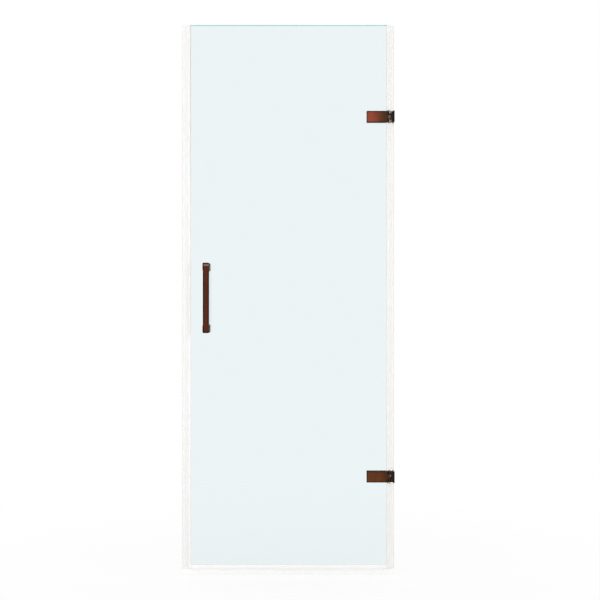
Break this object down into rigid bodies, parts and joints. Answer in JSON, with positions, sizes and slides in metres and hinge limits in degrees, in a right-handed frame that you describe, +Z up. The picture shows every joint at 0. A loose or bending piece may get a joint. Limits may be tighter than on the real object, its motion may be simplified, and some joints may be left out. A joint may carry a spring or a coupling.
{
  "type": "hinged shower door",
  "caption": "Frameless glass shower door on sprung wall hinges, with an upright pull, clear edge seals and a bottom sweep.",
  "frame": {"origin": "middle of the lower hinge's wall plate, on the wall face and the middle plane of the glass", "axes": "+X out of the door into the wall, +Y from the outside of the shower to the inside, +Z up"},
  "size_m": [0.7055, 0.077, 1.826],
  "materials": {
    "glass": "clear tempered, faint blue-green edge",
    "bronze": "oil-rubbed bronze, dark brown with red-brown glow",
    "dark_screw": "blackened",
    "steel": "ground",
    "spring_steel": "drawn wire",
    "bush": "dark acetal",
    "gasket": "matt pad",
    "clear_vinyl": "clear flexible vinyl",
    "clear_washer": "clear"
  },
  "bodies": {
    "root": {"lower_pivot_pin": "steel", "upper_pivot_pin": "steel", "wall_brackets": "bronze"},
    "door": {"bottom_sweep": "clear_vinyl", "clamp_screws": "dark_screw", "glass_panel": "glass", "handle_bar": "bronze", "handle_inner_caps": "bronze", "handle_inner_washers": "clear_washer", "handle_lower_post": "bronze", "handle_outer_washers": "clear_washer", "handle_studs": "steel", "handle_upper_post": "bronze", "hinge_seal_lower": "clear_vinyl", "hinge_seal_middle": "clear_vinyl", "hinge_seal_upper": "clear_vinyl", "lower_back_gasket": "gasket", "lower_front_gasket": "gasket", "lower_front_plate": "bronze", "lower_hinge_body": "bronze", "pivot_bushes": "bush", "plunger_screws": "steel", "plunger_springs": "spring_steel", "plungers": "steel", "strike_seal": "clear_vinyl", "upper_back_gasket": "gasket", "upper_front_gasket": "gasket", "upper_front_plate": "bronze", "upper_hinge_body": "bronze"}
  },
  "joints": [
    {"name": "door_swing", "type": "hinge", "parent": "root", "child": "door", "pos_m": [-0.015, 0, 0], "axis": [0, 0, 1], "range_deg": [-90, 90]}
  ]
}
